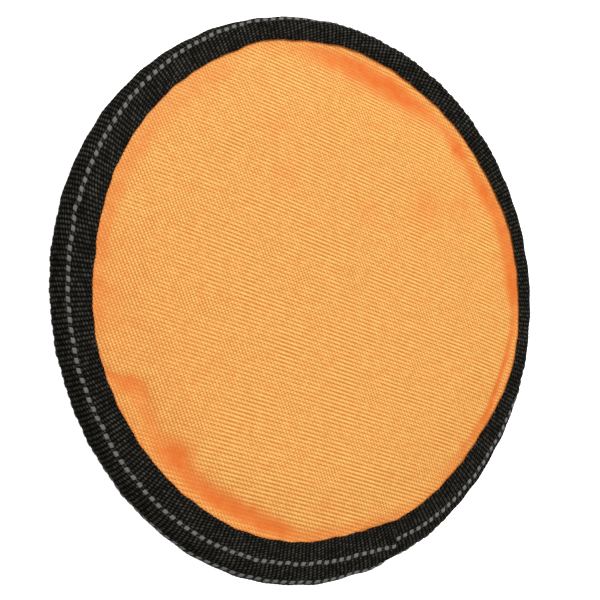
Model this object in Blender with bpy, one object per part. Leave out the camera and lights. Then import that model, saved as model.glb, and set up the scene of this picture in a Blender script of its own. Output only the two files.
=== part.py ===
"""Soft flying disc: two nylon panels over a foam pad, with a webbing-bound rim round a foam cord.

Frame: metres. The disc rests on its back panel in the plane z = 0, its centre is the origin,
and +Z is the spin axis, out of the face. Angles run anticlockwise from +X, seen from +Z.
"""

import math

import bmesh
import bpy

# Driving dimensions
DISC_DIAMETER = 0.230
FACE_SIDE_RADIUS = 0.005  # rounding of the rim between its widest point and the face
BACK_SIDE_RADIUS = 0.004  # rounding of the rim between its widest point and the back
WEBBING_WIDTH = 0.0254
WEBBING_THICKNESS = 0.0010
WEBBING_SHIFT = 0.0032  # how far the webbing's centre line sits from the widest point, towards the face
RIM_BASE = 0.0007  # the pad keeps the rim this far off the surface that the disc lies on
FABRIC_THICKNESS = 0.0004
FACE_HEIGHT = 0.0102
FACE_SHOULDER_DROP = 0.0005  # the face has fallen this far where it leaves the pad
FACE_DIP = 0.0004  # depth of the dip round the pad, below the fabric under the webbing
FACE_DIP_WIDTH = 0.0115  # from the pad's edge to where the webbing holds the fabric
PAD_DIAMETER = 0.176
PAD_ROUNDING = 0.0032
PAD_TO_WEBBING = 0.009  # level ring of the back panel outside the pad
BACK_STEP_WIDTH = 0.006  # over which the back panel rises to lie inside the webbing
FACE_PANEL_RADIUS = 0.1075
BACK_PANEL_RADIUS = 0.1098
CORD_DIAMETER = 0.0052
CORD_RING_RADIUS = 0.1109
CORD_LIFT = 0.0005  # of the cord's centre above the rim's widest point
LINE_SPACING = 0.0074  # between the two reflective yarns woven into the webbing
LINE_WIDTH = 0.0016
LINE_THICKNESS = 0.0003
THREAD_DIAMETER = 0.0003
FACE_SEAM_INSET = 0.0022  # from the webbing's edge on the face to its row of stitches
BACK_SEAM_INSET = 0.0014  # the same on the back
GAP = 0.0003  # air between touching pieces

# The strip of webbing goes once round and laps over its own start.
LAP_START = 281.0
LAP_END = 287.5
LAP_RAMP = 4.5  # degrees over which the upper layer climbs before the lap
LAP_RAMP_TOP = 0.5  # degrees before the lap where that climb ends
YARN_SETBACK = 0.5  # degrees from the cut end to the end of a reflective yarn
LAP_TAPER = 3.0  # degrees over which the lower layer regains its thickness after it
LAP_THICKNESS_OUTSIDE = 0.0007  # one layer, pressed by the stitches
LAP_THICKNESS_BACK = (WEBBING_THICKNESS - GAP) / 2  # pressed flush with the rest of the rim

# Resolution
STEPS = 60
STEP_ANGLE = 360.0 / STEPS
FACE_ARC_SEGMENTS = 5
BACK_ARC_SEGMENTS = 4
PAD_ARC_SEGMENTS = 3
CORD_CORNERS = 10
SHARP_EDGE_ANGLE = 40.0

# Derived sizes
RIM_RADIUS = DISC_DIAMETER / 2
WIDEST_HEIGHT = RIM_BASE + BACK_SIDE_RADIUS
RIM_TOP = WIDEST_HEIGHT + FACE_SIDE_RADIUS
FACE_ARC = FACE_SIDE_RADIUS * math.pi / 2
BACK_ARC = BACK_SIDE_RADIUS * math.pi / 2
WEBBING_FACE_EDGE = WEBBING_SHIFT + WEBBING_WIDTH / 2
WEBBING_BACK_EDGE = WEBBING_SHIFT - WEBBING_WIDTH / 2
LINE_POSITIONS = {
    "reflective_yarn_face_side": WEBBING_SHIFT + LINE_SPACING / 2,
    "reflective_yarn_rim_side": WEBBING_SHIFT - LINE_SPACING / 2,
}
FACE_SEAM = WEBBING_FACE_EDGE - FACE_SEAM_INSET
BACK_SEAM = WEBBING_BACK_EDGE + BACK_SEAM_INSET

ORANGE = (0.90, 0.33, 0.075)
WEBBING_BLACK = (0.018, 0.018, 0.015)
THREAD_BLACK = (0.012, 0.012, 0.012)
REFLECTIVE_GREY = (0.33, 0.34, 0.34)
FOAM_WHITE = (0.82, 0.82, 0.79)
CORD_GREY = (0.30, 0.30, 0.31)


def clear_scene():
    for old in list(bpy.data.objects):
        bpy.data.objects.remove(old, do_unlink=True)


def make_material(name, colour, roughness, sheen=0.0, metallic=0.0):
    material = bpy.data.materials.new(name)
    material.use_nodes = True
    shader = material.node_tree.nodes["Principled BSDF"]
    shader.inputs["Base Color"].default_value = (*colour, 1.0)
    shader.inputs["Roughness"].default_value = roughness
    shader.inputs["Metallic"].default_value = metallic
    shader.inputs["Sheen Weight"].default_value = sheen
    return material


def make_object(name, mesh, material):
    piece = bpy.data.objects.new(name, mesh)
    bpy.context.scene.collection.objects.link(piece)
    mesh.materials.append(material)
    mesh.shade_smooth()
    mesh.set_sharp_from_angle(angle=math.radians(SHARP_EDGE_ANGLE))
    return piece


def smoothstep(low, high, value):
    """0 below low, 1 above high, with level ends."""
    t = min(max((value - low) / (high - low), 0.0), 1.0)
    return t * t * (3.0 - 2.0 * t)


def rim_point(along, lift):
    """(radius, height) on the rim's outline.

    along is the distance round the outline from the widest point, positive towards the face.
    lift is the distance out of the outline, negative inside it.
    """
    rounding = FACE_SIDE_RADIUS if along >= 0 else BACK_SIDE_RADIUS
    arc = FACE_ARC if along >= 0 else BACK_ARC
    side = 1.0 if along >= 0 else -1.0
    angle = min(abs(along), arc) / rounding
    flat = max(abs(along) - arc, 0.0)
    radius = RIM_RADIUS - rounding + (rounding + lift) * math.cos(angle) - flat
    height = WIDEST_HEIGHT + side * (rounding + lift) * math.sin(angle)
    return radius, height


def webbing_stations():
    """Positions across the webbing, from its edge on the face to its edge on the back."""
    face_side = [FACE_ARC * i / FACE_ARC_SEGMENTS for i in range(FACE_ARC_SEGMENTS, 0, -1)]
    back_side = [-BACK_ARC * i / BACK_ARC_SEGMENTS for i in range(BACK_ARC_SEGMENTS + 1)]
    return [WEBBING_FACE_EDGE, *face_side, *back_side, WEBBING_BACK_EDGE]


def lap_layer_thickness(along):
    """Thickness of one layer of webbing in the lap."""
    outside = smoothstep(-BACK_ARC, 0.0, along)
    return LAP_THICKNESS_BACK + (LAP_THICKNESS_OUTSIDE - LAP_THICKNESS_BACK) * outside


def lap_rise(along):
    """How far the lap's upper layer stands out of the rim's outline."""
    return 2.0 * lap_layer_thickness(along) + GAP - WEBBING_THICKNESS


def webbing_surfaces(turn, along):
    """(outer lift, inner lift) of the strip, where turn runs from LAP_START to LAP_END + 360."""
    layer = lap_layer_thickness(along)
    if turn < LAP_START + 180.0:
        full = smoothstep(LAP_END, LAP_END + LAP_TAPER, turn)
        thickness = layer + (WEBBING_THICKNESS - layer) * full
        return thickness - WEBBING_THICKNESS, -WEBBING_THICKNESS
    raised = smoothstep(LAP_START - LAP_RAMP, LAP_START - LAP_RAMP_TOP, turn - 360.0)
    outer = lap_rise(along) * raised
    thickness = WEBBING_THICKNESS + (layer - WEBBING_THICKNESS) * raised
    return outer, outer - thickness


def strip_turns():
    """Angles of the strip's sections, closer together in the lap."""
    first = STEP_ANGLE * math.ceil((LAP_END + LAP_TAPER) / STEP_ANGLE)
    middle_count = round((LAP_START - LAP_RAMP + 360.0 - first) // STEP_ANGLE)
    middle = [first + STEP_ANGLE * i for i in range(middle_count + 1)]
    halfway = (LAP_START + LAP_END) / 2
    start = [LAP_START, halfway, LAP_END, LAP_END + LAP_TAPER / 2, LAP_END + LAP_TAPER]
    ramp = [LAP_START - LAP_RAMP, LAP_START - LAP_RAMP / 2, LAP_START - LAP_RAMP_TOP]
    end = [*ramp, LAP_START, halfway, LAP_END]
    return start + middle + [angle + 360.0 for angle in end]


def sweep(name, turns, section_at, material, closed=False):
    """Solid through one section of (radius, height) points at each angle, in degrees."""
    shape = bmesh.new()
    rings = []
    for turn in turns:
        c, s = math.cos(math.radians(turn)), math.sin(math.radians(turn))
        rings.append([shape.verts.new((r * c, r * s, z)) for r, z in section_at(turn)])
    count = len(rings[0])
    spans = list(zip(rings, rings[1:]))
    if closed:
        spans.append((rings[-1], rings[0]))
    for near, far in spans:
        for i in range(count):
            j = (i + 1) % count
            shape.faces.new((near[i], near[j], far[j], far[i]))
    if not closed:
        shape.faces.new(rings[0])
        shape.faces.new(reversed(rings[-1]))
    bmesh.ops.recalc_face_normals(shape, faces=shape.faces)
    mesh = bpy.data.meshes.new(name)
    shape.to_mesh(mesh)
    shape.free()
    return make_object(name, mesh, material)


def turned(name, profile, material):
    """Solid of revolution about Z with a Screw modifier.

    profile is a list of (radius, height) points that starts and ends on the axis and runs down
    its outer side.
    """
    shape = bmesh.new()
    verts = [shape.verts.new((r, 0.0, z)) for r, z in profile]
    for pair in zip(verts, verts[1:]):
        shape.edges.new(pair)
    mesh = bpy.data.meshes.new(name)
    shape.to_mesh(mesh)
    shape.free()
    piece = make_object(name, mesh, material)
    screw = piece.modifiers.new("turn", "SCREW")
    screw.steps = STEPS
    screw.render_steps = STEPS
    screw.use_merge_vertices = True
    screw.merge_threshold = 1e-6
    screw.use_smooth_shade = True
    return piece


def webbing(material):
    """The strip of webbing folded round the rim, its end lapped over its start."""
    stations = webbing_stations()

    def section(turn):
        outer = [rim_point(a, webbing_surfaces(turn, a)[0]) for a in stations]
        inner = [rim_point(a, webbing_surfaces(turn, a)[1]) for a in reversed(stations)]
        return outer + inner

    return sweep("rim_webbing", strip_turns(), section, material)


def reflective_yarn(name, along, material):
    """A flat yarn that follows the webbing's outer surface, from one side of the cut end to the other."""
    turns = [t for t in strip_turns() if t > LAP_END]
    turns[0] = LAP_END + YARN_SETBACK

    def section(turn):
        base = webbing_surfaces(turn, along)[0] + GAP
        low = [rim_point(along + side * LINE_WIDTH / 2, base) for side in (1, -1)]
        high = [rim_point(along + side * LINE_WIDTH / 2, base + LINE_THICKNESS) for side in (-1, 1)]
        return low + high

    return sweep(name, turns, section, material)


def seam_thread(name, along, depth, material):
    """One thread of a row of stitches, as a ring at this lift from the rim's outline."""
    turns = [STEP_ANGLE * i for i in range(STEPS)]

    def section(turn):
        over_lap = smoothstep(LAP_START - 2 * LAP_RAMP, LAP_START - LAP_RAMP, turn)
        past_lap = smoothstep(LAP_END + LAP_TAPER, LAP_END + 3 * LAP_TAPER, turn)
        clear_of_lap = lap_rise(along) * (over_lap - past_lap) if depth > 0 else 0.0
        base = depth + clear_of_lap
        half = THREAD_DIAMETER / 2
        low = [rim_point(along + side * half, base) for side in (1, -1)]
        high = [rim_point(along + side * half, base + THREAD_DIAMETER) for side in (-1, 1)]
        return low + high

    return sweep(name, turns, section, material, closed=True)


def face_panel(material):
    """Fabric disc: level over the pad, dipped round it, and caught under the webbing."""
    under_webbing = RIM_TOP - WEBBING_THICKNESS - GAP
    dip = under_webbing - FACE_DIP
    pad_edge = PAD_DIAMETER / 2
    caught = pad_edge + FACE_DIP_WIDTH
    outline = [
        (0.0, FACE_HEIGHT),
        (pad_edge - PAD_ROUNDING, FACE_HEIGHT),
        (pad_edge, FACE_HEIGHT - FACE_SHOULDER_DROP),
        ((2 * pad_edge + caught) / 3, dip + FACE_DIP),
        ((pad_edge + 2 * caught) / 3, dip),
        (caught, under_webbing),
        (FACE_PANEL_RADIUS, under_webbing),
    ]
    underside = [(r, z - FABRIC_THICKNESS) for r, z in reversed(outline)]
    return turned("face_panel", outline + underside, material)


def back_panel(material):
    """Fabric disc: level with the webbing where the disc rests, and caught inside its back edge."""
    inside_webbing = RIM_BASE + WEBBING_THICKNESS + GAP
    level_edge = PAD_DIAMETER / 2 + PAD_TO_WEBBING
    step_edge = level_edge + BACK_STEP_WIDTH
    outline = [
        (0.0, 0.0),
        (level_edge, 0.0),
        (step_edge, inside_webbing),
        (BACK_PANEL_RADIUS, inside_webbing),
    ]
    upper_side = [(r, z + FABRIC_THICKNESS) for r, z in outline]
    return turned("back_panel", upper_side + outline[::-1], material)


def foam_pad(material):
    """Closed-cell foam disc with rounded edges, between the panels."""
    low = FABRIC_THICKNESS + GAP
    high = FACE_HEIGHT - FABRIC_THICKNESS - GAP
    radius = PAD_DIAMETER / 2
    edge = []
    for centre, first in ((high - PAD_ROUNDING, 90.0), (low + PAD_ROUNDING, 0.0)):
        for i in range(PAD_ARC_SEGMENTS + 1):
            angle = math.radians(first - 90.0 * i / PAD_ARC_SEGMENTS)
            out = PAD_ROUNDING * math.cos(angle)
            up = PAD_ROUNDING * math.sin(angle)
            edge.append((radius - PAD_ROUNDING + out, centre + up))
    return turned("foam_pad", [(0.0, high), *edge, (0.0, low)], material)


def rim_cord(material):
    """Foam cord that fills the rim, bent into a ring with its two ends butted opposite the lap."""
    centre_height = WIDEST_HEIGHT + CORD_LIFT
    butt = LAP_START - 180.0
    half_gap = math.degrees(GAP / RIM_RADIUS)
    inner_turns = [butt + STEP_ANGLE * i for i in range(1, STEPS)]
    turns = [butt + half_gap, *inner_turns, butt + 360.0 - half_gap]

    def section(turn):
        angles = [2 * math.pi * (i + 0.5) / CORD_CORNERS for i in range(CORD_CORNERS)]
        half = CORD_DIAMETER / 2
        return [(CORD_RING_RADIUS + half * math.cos(a), centre_height + half * math.sin(a)) for a in angles]

    return sweep("rim_cord", turns, section, material)


def main():
    clear_scene()
    orange = make_material("nylon_orange", ORANGE, 0.55, sheen=0.3)
    black = make_material("webbing_black", WEBBING_BLACK, 0.8, sheen=0.2)
    grey = make_material("reflective_yarn_grey", REFLECTIVE_GREY, 0.35, metallic=0.3)
    thread = make_material("thread_black", THREAD_BLACK, 0.6)
    foam = make_material("foam_white", FOAM_WHITE, 0.9)
    cord = make_material("cord_grey", CORD_GREY, 0.9)

    face_panel(orange)
    back_panel(orange)
    foam_pad(foam)
    rim_cord(cord)
    webbing(black)
    for name, along in LINE_POSITIONS.items():
        reflective_yarn(name, along, grey)
    outside = GAP
    inside = -WEBBING_THICKNESS - FABRIC_THICKNESS - 2 * GAP - THREAD_DIAMETER
    seam_thread("face_seam_needle_thread", FACE_SEAM, outside, thread)
    seam_thread("face_seam_bobbin_thread", FACE_SEAM, inside, thread)
    seam_thread("back_seam_needle_thread", BACK_SEAM, outside, thread)
    seam_thread("back_seam_bobbin_thread", BACK_SEAM, inside, thread)


main()
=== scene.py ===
"""Looks of the soft flying disc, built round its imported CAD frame.

Metres, in the CAD's frame: the disc lies on its back, its centre is the origin and +Z is the spin
axis. Angles run anticlockwise from +X. A place on the rim is a turn in degrees and a distance
"along" the rim's outline from its widest point, positive towards the face.
"""

import math

import bpy
import numpy as np
from mathutils import Matrix, Vector


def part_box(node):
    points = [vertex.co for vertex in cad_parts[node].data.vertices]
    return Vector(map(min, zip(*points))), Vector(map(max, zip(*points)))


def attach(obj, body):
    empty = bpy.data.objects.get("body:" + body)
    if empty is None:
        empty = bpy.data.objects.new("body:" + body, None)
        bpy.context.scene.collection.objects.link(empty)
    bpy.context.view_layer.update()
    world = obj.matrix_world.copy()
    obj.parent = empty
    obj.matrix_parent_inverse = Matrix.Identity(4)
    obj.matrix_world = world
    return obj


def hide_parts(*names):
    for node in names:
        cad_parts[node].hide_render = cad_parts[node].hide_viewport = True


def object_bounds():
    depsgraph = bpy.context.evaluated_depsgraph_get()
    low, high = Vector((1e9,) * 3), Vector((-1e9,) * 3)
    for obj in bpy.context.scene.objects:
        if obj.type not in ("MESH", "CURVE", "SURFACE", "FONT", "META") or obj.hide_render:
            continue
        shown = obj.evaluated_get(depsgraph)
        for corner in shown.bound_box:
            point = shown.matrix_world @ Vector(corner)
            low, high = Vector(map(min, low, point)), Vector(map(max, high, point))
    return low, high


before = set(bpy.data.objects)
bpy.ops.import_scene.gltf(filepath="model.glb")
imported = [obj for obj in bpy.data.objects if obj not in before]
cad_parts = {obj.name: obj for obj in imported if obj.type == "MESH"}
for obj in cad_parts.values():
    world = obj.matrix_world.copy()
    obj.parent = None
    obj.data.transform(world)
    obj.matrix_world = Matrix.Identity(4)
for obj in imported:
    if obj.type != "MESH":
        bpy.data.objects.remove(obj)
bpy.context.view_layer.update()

MM = 0.001

# Rim outline, as in the CAD
FACE_SIDE_RADIUS = 5.0 * MM
BACK_SIDE_RADIUS = 4.0 * MM
WEBBING_THICKNESS = 1.0 * MM
RIM_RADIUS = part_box("rim_webbing")[1].x
RIM_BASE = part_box("rim_webbing")[0].z
WIDEST_HEIGHT = RIM_BASE + BACK_SIDE_RADIUS
RIM_TOP = WIDEST_HEIGHT + FACE_SIDE_RADIUS
BACK_ARC = BACK_SIDE_RADIUS * math.pi / 2

# A hand-sewn rim strays from a flat circle. Each lobe is (count per turn, amount, phase in degrees).
RIM_OUT_OF_ROUND = ((2, 1.1 * MM, 143.0), (3, 0.5 * MM, 88.0), (4, 0.24 * MM, -75.0))
RIM_WARP = ((2, 0.76 * MM, 30.0), (3, 0.32 * MM, -22.0))
RIM_DENT = 1.1 * MM  # the rim is drawn in just before the strip's end
RIM_DENT_TURN = 282.5
RIM_DENT_WIDTH = 7.0
STRIP_UNEVEN = ((23, 0.08 * MM, 40.0), (37, 0.09 * MM, 200.0), (61, 0.10 * MM, 90.0))
EDGE_UNEVEN = ((29, 0.09 * MM, 130.0), (47, 0.10 * MM, 300.0), (71, 0.09 * MM, 60.0))
RIM_STIFFNESS_START = 60.0 * MM  # the rim's wander dies out inwards between these radii
RIM_STIFFNESS_END = 104.0 * MM

# Strip of webbing. A place across it is measured from its front reflective line, positive inwards.
LINE_ALONG = 6.93 * MM  # the front line's place along the rim's outline, before its drift
LINE_DRIFT = ((1, 2.83 * MM, 233.0), (2, 1.51 * MM, 175.0), (3, 1.08 * MM, 113.5))
FACE_EDGE = 8.95 * MM
BACK_EDGE = -16.45 * MM
REAR_LINE = -7.35 * MM
BACK_EDGE_ALONG = -9.6 * MM  # the strip always reaches this far under the rim
DASH_TURN = 1.9556  # degrees from one reflective dash to the next, two ribs of the weave
FIRST_DASH = 468.6  # a turn with a dash on it, from which dashes and ribs are counted
WARP_PITCH = 0.54 * MM
WARP_RISE = 0.13 * MM
WARP_BULGE = 0.15 * MM
WARP_SPREAD = 1.15  # from a warp yarn's middle to its foot, in pitches
FLOAT_SLANT = 0.14  # how far a float runs on along the strip from one side to the other
SAMPLES_PER_RIB = 5
SAMPLES_PER_WARP = 2
INNER_SAMPLES = 14  # across the strip's inside, which never shows
SELVAGE = 0.6 * MM
SCALLOP = 0.12 * MM  # how far each rib pulls the strip's edges in and out

# The strip starts at one turn and ends, more than once round, over its own start.
LAP_START = 281.0
LAP_END = 647.5
LAP_SLANT_OUTSIDE = 560.0  # degrees per metre across the strip, of the cut outside the front line
LAP_SLANT_INSIDE = 60.0
LAP_SLANT_WIDTH = 8.0 * MM
LAP_SLANT_REACH = 9.0
LAP_RAMP = 4.5
LAP_RISE = 1.1 * MM
LAP_FLATTENING = 0.62  # share of its thickness that the strip loses where it is lapped on the back
LAP_DRIFT = 1.9 * MM  # how far the front line slips towards the rim before the strip's end
LAP_DRIFT_REACH = 12.8
LAP_DRIFT_HELD = 0.9  # share of that slip that is held back at the seam and the rear line

# Stitches
STITCH_LENGTH = 3.0 * MM
STITCH_SAMPLES = 9
STITCH_DIP = 0.5 * MM
STITCH_DIP_REACH = 0.22  # share of a stitch that goes down into each hole
STITCH_NARROWING = 0.2
THREAD_RADIUS = 0.19 * MM
THREAD_SIDES = 6
THREAD_ABOVE_STRIP = 0.02 * MM
THREAD_BELOW_PANEL = 0.5 * MM
FACE_SEAM_INSET = 2.2 * MM
BACK_SEAM_INSET = 1.4 * MM
SEAM_PRESS = 0.07 * MM
SEAM_PRESS_WIDTH = 0.8 * MM

# Where the sewn edge of the strip bulges in over the face (negative) or is drawn back, in degrees
# and millimetres.
EDGE_WANDER = (
    (0.0, 0.4), (18.0, 1.3), (30.0, -0.1), (48.0, 0.2), (58.0, -0.4), (80.0, 1.0), (92.0, 0.4),
    (102.0, 1.7), (112.0, 0.3), (124.0, 0.3), (146.0, -0.2), (170.0, -1.5), (190.0, -0.3),
    (214.0, -1.0), (232.0, -0.7), (246.0, 0.1), (262.0, 0.5), (270.0, -0.3), (280.0, -0.7),
    (292.0, 1.2), (304.0, 0.4), (316.0, -0.8), (327.0, -1.1), (333.0, 0.1), (344.0, 1.3),
    (360.0, 0.4),
)
EDGE_SMOOTHING = 2.0
# How far the strip's outer part is rolled over the rim, away from the face or, where negative,
# towards it, in degrees and millimetres.
LINE_ROLL = (
    (0.0, 3.0), (70.0, 3.0), (84.0, 1.9), (96.0, 1.1), (112.0, 0.7), (130.0, 0.2), (145.0, 0.0),
    (306.0, 0.0), (314.0, -0.8), (321.0, -1.6), (330.0, -1.9), (334.0, -1.3), (338.0, 0.2),
    (348.0, 2.0), (360.0, 3.0),
)
REAR_LINE_DRIFT = 2.0 * MM  # half of how far the rear line strays opposite the next value's turn
REAR_LINE_DRIFT_FROM = 282.0

# Panels
FABRIC_THICKNESS = 0.4 * MM
SHEET_CELLS = 64
SHEET_SUBDIVISIONS = 2
FACE_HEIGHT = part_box("face_panel")[1].z
FACE_PANEL_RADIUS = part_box("face_panel")[1].x
BACK_PANEL_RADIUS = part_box("back_panel")[1].x
PANEL_GAP = 0.3 * MM  # between the inside of the webbing and the face below it
UNDER_WEBBING = RIM_TOP - WEBBING_THICKNESS - PANEL_GAP
BACK_RISE_START = 88.0 * MM
BACK_RISE_END = 103.0 * MM
BACK_INSIDE_WEBBING = 0.7 * MM  # from the inside of the webbing up to the back panel

# Camera, turned so that the disc stands tilted in the frame
CAMERA_PLACE = Vector((-0.28305, -0.03137, 0.4450))
CAMERA_BACK = Vector((-0.5297, -0.0570, 0.8463))
CAMERA_UP = Vector((0.0, 0.9977, 0.0672))
CAMERA_LENS = 76.85


def smoothstep(low, high, value):
    """0 below low, 1 above high, with level ends."""
    t = np.clip((value - low) / (high - low), 0.0, 1.0)
    return t * t * (3.0 - 2.0 * t)


def bell(value, width):
    """1 at zero, fading out to both sides over this width."""
    return np.exp(-((value / width) ** 2))


def turn_from(turn, middle):
    """Degrees from middle to turn, between -180 and 180."""
    return (turn - middle + 180.0) % 360.0 - 180.0


def rim_dent(turn):
    """Share of the rim's dent at this turn."""
    return bell(turn_from(turn, RIM_DENT_TURN), RIM_DENT_WIDTH)


def lobes(turn, terms):
    """Sum of waves round the rim."""
    return sum(amount * np.cos(np.radians(count * turn - phase)) for count, amount, phase in terms)


# ---------------------------------------------------------------- places on the disc


def place(turn, radius, height):
    """Points at these turns, radii and heights, carried by the rim's wander."""
    pull = smoothstep(RIM_STIFFNESS_START, RIM_STIFFNESS_END, radius)
    radius = radius + pull * (lobes(turn, RIM_OUT_OF_ROUND) - RIM_DENT * rim_dent(turn))
    height = height + pull * lobes(turn, RIM_WARP)
    angle = np.radians(turn)
    return np.stack((radius * np.cos(angle), radius * np.sin(angle), height), axis=-1)


def rim_place(turn, along, lift):
    """Points on the rim's outline, lift being the distance out of it."""
    face_side = along >= 0.0
    rounding = np.where(face_side, FACE_SIDE_RADIUS, BACK_SIDE_RADIUS)
    arc = rounding * math.pi / 2
    bend = np.minimum(np.abs(along), arc) / rounding
    flat = np.maximum(np.abs(along) - arc, 0.0)
    radius = RIM_RADIUS - rounding + (rounding + lift) * np.cos(bend) - flat
    height = WIDEST_HEIGHT + np.where(face_side, 1.0, -1.0) * (rounding + lift) * np.sin(bend)
    return place(turn, radius, height)


def edge_wander(turn):
    """How far the strip's edge on the face is drawn back at this turn."""
    angles, amounts = np.array(EDGE_WANDER).T
    wrapped = turn % 360.0
    steps = (-EDGE_SMOOTHING, 0.0, EDGE_SMOOTHING)
    near = [np.interp((wrapped + step) % 360.0, angles, amounts) for step in steps]
    return sum(near) / len(near) * MM + RIM_DENT * rim_dent(turn) + lobes(turn, EDGE_UNEVEN)


def line_roll(turn):
    """How far the strip's outer part is rolled over the rim, away from the face, at this turn."""
    angles, amounts = np.array(LINE_ROLL).T
    return np.interp(turn % 360.0, angles, amounts) * MM


def strip_along(turn, across):
    """Distance along the rim's outline of a place on the strip."""
    inside = smoothstep(0.0, FACE_EDGE, across)
    to_rear = smoothstep(0.0, REAR_LINE, across)
    slip = LAP_DRIFT * smoothstep(LAP_END - LAP_DRIFT_REACH, LAP_END, turn)
    drift = lobes(turn, LINE_DRIFT) - slip * (1.0 - LAP_DRIFT_HELD * (inside + to_rear))
    drift = drift - edge_wander(turn) * inside - line_roll(turn) * (1.0 - inside)
    back = smoothstep(REAR_LINE, BACK_EDGE, across)
    short = LINE_ALONG + drift + BACK_EDGE - BACK_EDGE_ALONG
    drift = drift - back * np.maximum(short, 0.0)
    return LINE_ALONG + drift + across


def cut_slant(across):
    """Degrees by which the strip's cut end runs further along at this place across it."""
    outside = LAP_SLANT_OUTSIDE * np.clip(across, -LAP_SLANT_WIDTH, 0.0)
    return outside + LAP_SLANT_INSIDE * np.maximum(across, 0.0)


def strip_lift(turn, across):
    """(lift, thickness) of the strip without its weave: its end climbs over its start."""
    along = strip_along(turn, across)
    outside = smoothstep(-BACK_ARC, 0.0, along)
    lap = LAP_END - 360.0
    over = smoothstep(LAP_START + 360.0 - LAP_RAMP, LAP_START + 360.0, turn)
    under = 1.0 - smoothstep(lap, lap + LAP_RAMP, turn)
    flattening = LAP_FLATTENING * (1.0 - outside) * (over + under)
    thickness = WEBBING_THICKNESS * (1.0 - flattening)
    lift = LAP_RISE * over * outside - (WEBBING_THICKNESS - thickness) * under
    seams = bell(across - FACE_EDGE + FACE_SEAM_INSET, SEAM_PRESS_WIDTH)
    seams = seams + bell(across - BACK_EDGE - BACK_SEAM_INSET, SEAM_PRESS_WIDTH)
    return lift - SEAM_PRESS * seams + lobes(turn, STRIP_UNEVEN), thickness


def rib_phase(turn):
    """Ribs counted along the strip. Even ones lie under the reflective dashes."""
    return 2.0 * (turn - FIRST_DASH) / DASH_TURN


def weave_height(rib, warp):
    """Surface of the webbing's plain weave: the highest of the warp yarns near this place."""
    best = np.full(np.broadcast(rib, warp).shape, -1.0)
    for step in (-1.0, 0.0, 1.0, 2.0):
        yarn = np.floor(warp) + step
        crown = 1.0 - ((warp - yarn) / WARP_SPREAD) ** 2
        wave = np.cos(math.pi * (rib - FLOAT_SLANT * (warp - yarn) + yarn))
        best = np.maximum(best, WARP_RISE * wave + WARP_BULGE * crown)
    return best - WARP_RISE - WARP_BULGE


def strip_place(turn, across, lift):
    """Points on the strip, lift being the distance above its smooth outer surface."""
    base, _ = strip_lift(turn, across)
    return rim_place(turn, strip_along(turn, across), base + lift)


# ---------------------------------------------------------------- meshes


def new_object(name, mesh, material):
    """Smooth object in the scene, with this mesh and material."""
    piece = bpy.data.objects.new(name, mesh)
    bpy.context.scene.collection.objects.link(piece)
    mesh.materials.append(material)
    mesh.shade_smooth()
    return piece


def fill_mesh(name, points, quads, rims=()):
    """Mesh of these quads, with each rim, a loop of corners, closed by one face."""
    mesh = bpy.data.meshes.new(name)
    faces = quads.tolist() + [list(rim) for rim in rims]
    mesh.from_pydata(points.reshape(-1, 3), [], faces)
    mesh.update()
    return mesh


def sweep(name, sections, material, closed=False):
    """Solid through sections, an array of (section, point, xyz). A section is a closed loop."""
    count, size = sections.shape[:2]
    index = np.arange(count * size).reshape(count, size)
    near = index if closed else index[:-1]
    far = np.roll(index, -1, axis=0) if closed else index[1:]
    quads = np.stack((near, np.roll(near, -1, axis=1), np.roll(far, -1, axis=1), far), axis=-1)
    rims = [] if closed else [index[0][::-1], index[-1]]
    mesh = fill_mesh(name, sections, quads.reshape(-1, 4), rims)
    return new_object(name, mesh, material)


def keep_places(piece, name, values):
    """Stores one vector per vertex for the material to read."""
    attribute = piece.data.attributes.new(name, "FLOAT_VECTOR", "POINT")
    attribute.data.foreach_set("vector", np.ascontiguousarray(values, np.float32).ravel())


# ---------------------------------------------------------------- materials


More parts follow.
